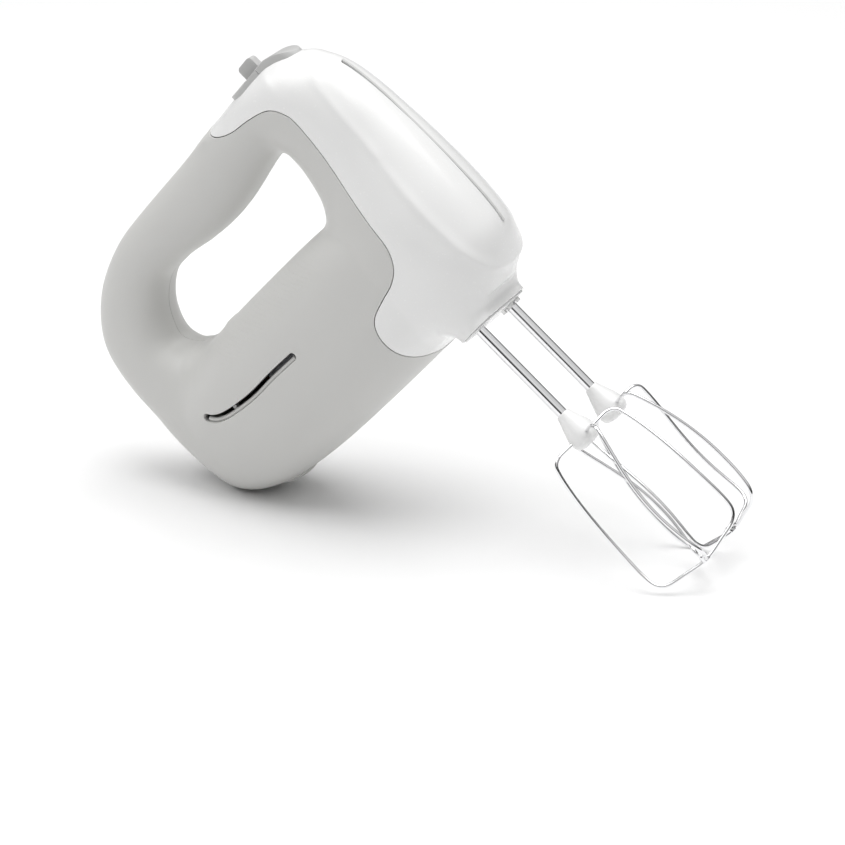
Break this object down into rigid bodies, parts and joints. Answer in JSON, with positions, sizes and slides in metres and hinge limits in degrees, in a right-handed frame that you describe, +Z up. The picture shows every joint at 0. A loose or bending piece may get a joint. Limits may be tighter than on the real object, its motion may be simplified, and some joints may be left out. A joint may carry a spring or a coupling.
{
  "type": "hand mixer",
  "caption": "Corded hand mixer with a loop handle over a split motor housing, worm gearing, eject button, speed selector and twin twisted wire beaters.",
  "frame": {"origin": "on the surface it stands on, under the middle of the bounding box; the housing's mid-plane is y = 0", "axes": "+Z up, +X towards the beater tips along the surface, +Y to the mixer's left; the mixer leans on its heel and its beater tips, its sockets' axes 50 degrees from upright"},
  "size_m": [0.3722, 0.0929, 0.2555],
  "materials": {
    "grey_shell": "satin moulded plastic, warm light grey",
    "white_shell": "satin-gloss white moulded plastic",
    "grey_inlay": "satin light grey",
    "grey_control": "satin mid grey",
    "chrome": "bright plated steel",
    "black_rubber": "matt",
    "case_plastic": "matt glass-filled plastic",
    "wheel_plastic": "natural acetal",
    "steel": "bright turned steel",
    "core_steel": "stamped laminations",
    "copper": "enamelled copper wire",
    "bronze": "sintered bronze",
    "brass": "stamped brass",
    "carbon": "pressed carbon",
    "board_green": "printed board",
    "film_yellow": "film capacitor case",
    "spring_steel": "drawn wire"
  },
  "bodies": {
    "housing": {"housing_left": "grey_shell", "housing_right": "grey_shell", "front_shell": "white_shell", "accent_strip": "grey_inlay", "vent_rib": "grey_inlay", "control_panel": "grey_control", "boss_plate": "white_shell", "socket_bush_plain": "white_shell", "socket_bush_keyed": "white_shell", "cord_bush": "black_rubber", "heel_foot": "grey_shell", "gearbox_case": "case_plastic", "gearbox_cover": "case_plastic", "gearbox_screws": "steel", "housing_screws": "steel", "stator_core": "core_steel", "field_coil_upper": "copper", "field_coil_lower": "copper", "rear_bracket": "case_plastic", "front_bearing": "bronze", "rear_bearing": "bronze", "brush_holder_left": "brass", "brush_holder_right": "brass", "carbon_brush_left": "carbon", "carbon_brush_right": "carbon", "brush_spring_left": "spring_steel", "brush_spring_right": "spring_steel", "speed_board": "board_green", "speed_switch": "case_plastic", "capacitor": "film_yellow", "eject_spring": "spring_steel"},
    "motor": {"motor_shaft": "steel", "worm": "steel", "armature_core": "core_steel", "armature_windings": "copper", "commutator": "copper", "fan": "case_plastic"},
    "gear_left": {"wheel_left": "wheel_plastic", "catch_left": "spring_steel"},
    "gear_right": {"wheel_right": "wheel_plastic", "catch_right": "spring_steel"},
    "beater_left": {"stem_left": "chrome", "hub_left": "white_shell", "loop_a_left": "chrome", "loop_b_left": "chrome", "clip_left": "chrome"},
    "beater_right": {"stem_right": "chrome", "hub_right": "white_shell", "loop_a_right": "chrome", "loop_b_right": "chrome", "clip_right": "chrome"},
    "eject": {"eject_button": "grey_control", "eject_plunger": "case_plastic"},
    "selector": {"selector_lever": "grey_control"}
  },
  "joints": [
    {"name": "motor_spin", "type": "hinge", "parent": "housing", "child": "motor", "pos_m": [-0.04591, 0, 0.09634], "axis": [0.6428, 0, 0.766], "continuous": true},
    {"name": "wheel_left_spin", "type": "hinge", "parent": "housing", "child": "gear_left", "pos_m": [0.00551, 0.0185, 0.15763], "axis": [-0.766, 0, 0.6428], "continuous": true},
    {"name": "wheel_right_spin", "type": "hinge", "parent": "housing", "child": "gear_right", "pos_m": [0.00551, -0.0185, 0.15763], "axis": [-0.766, 0, 0.6428], "continuous": true},
    {"name": "beater_left_slide", "type": "slide", "parent": "gear_left", "child": "beater_left", "axis": [0.766, 0, -0.6428], "range_m": [0, 0.005]},
    {"name": "beater_right_slide", "type": "slide", "parent": "gear_right", "child": "beater_right", "axis": [0.766, 0, -0.6428], "range_m": [0, 0.005]},
    {"name": "eject_press", "type": "slide", "parent": "housing", "child": "eject", "axis": [0.766, 0, -0.6428], "range_m": [0, 0.005], "stiffness_N_per_m": 700, "springref_m": -0.003, "deforming": ["eject_spring"]},
    {"name": "selector_swing", "type": "hinge", "parent": "housing", "child": "selector", "pos_m": [-0.06573, 0, 0.2174], "axis": [0.6428, 0, 0.766], "range_deg": [-10, 10]}
  ],
  "couplings": [
    {"joint": "wheel_left_spin", "follows": "motor_spin", "ratio": 0.027778},
    {"joint": "wheel_right_spin", "follows": "motor_spin", "ratio": -0.027778},
    {"joint": "beater_left_slide", "follows": "eject_press", "ratio": 1},
    {"joint": "beater_right_slide", "follows": "eject_press", "ratio": 1}
  ]
}
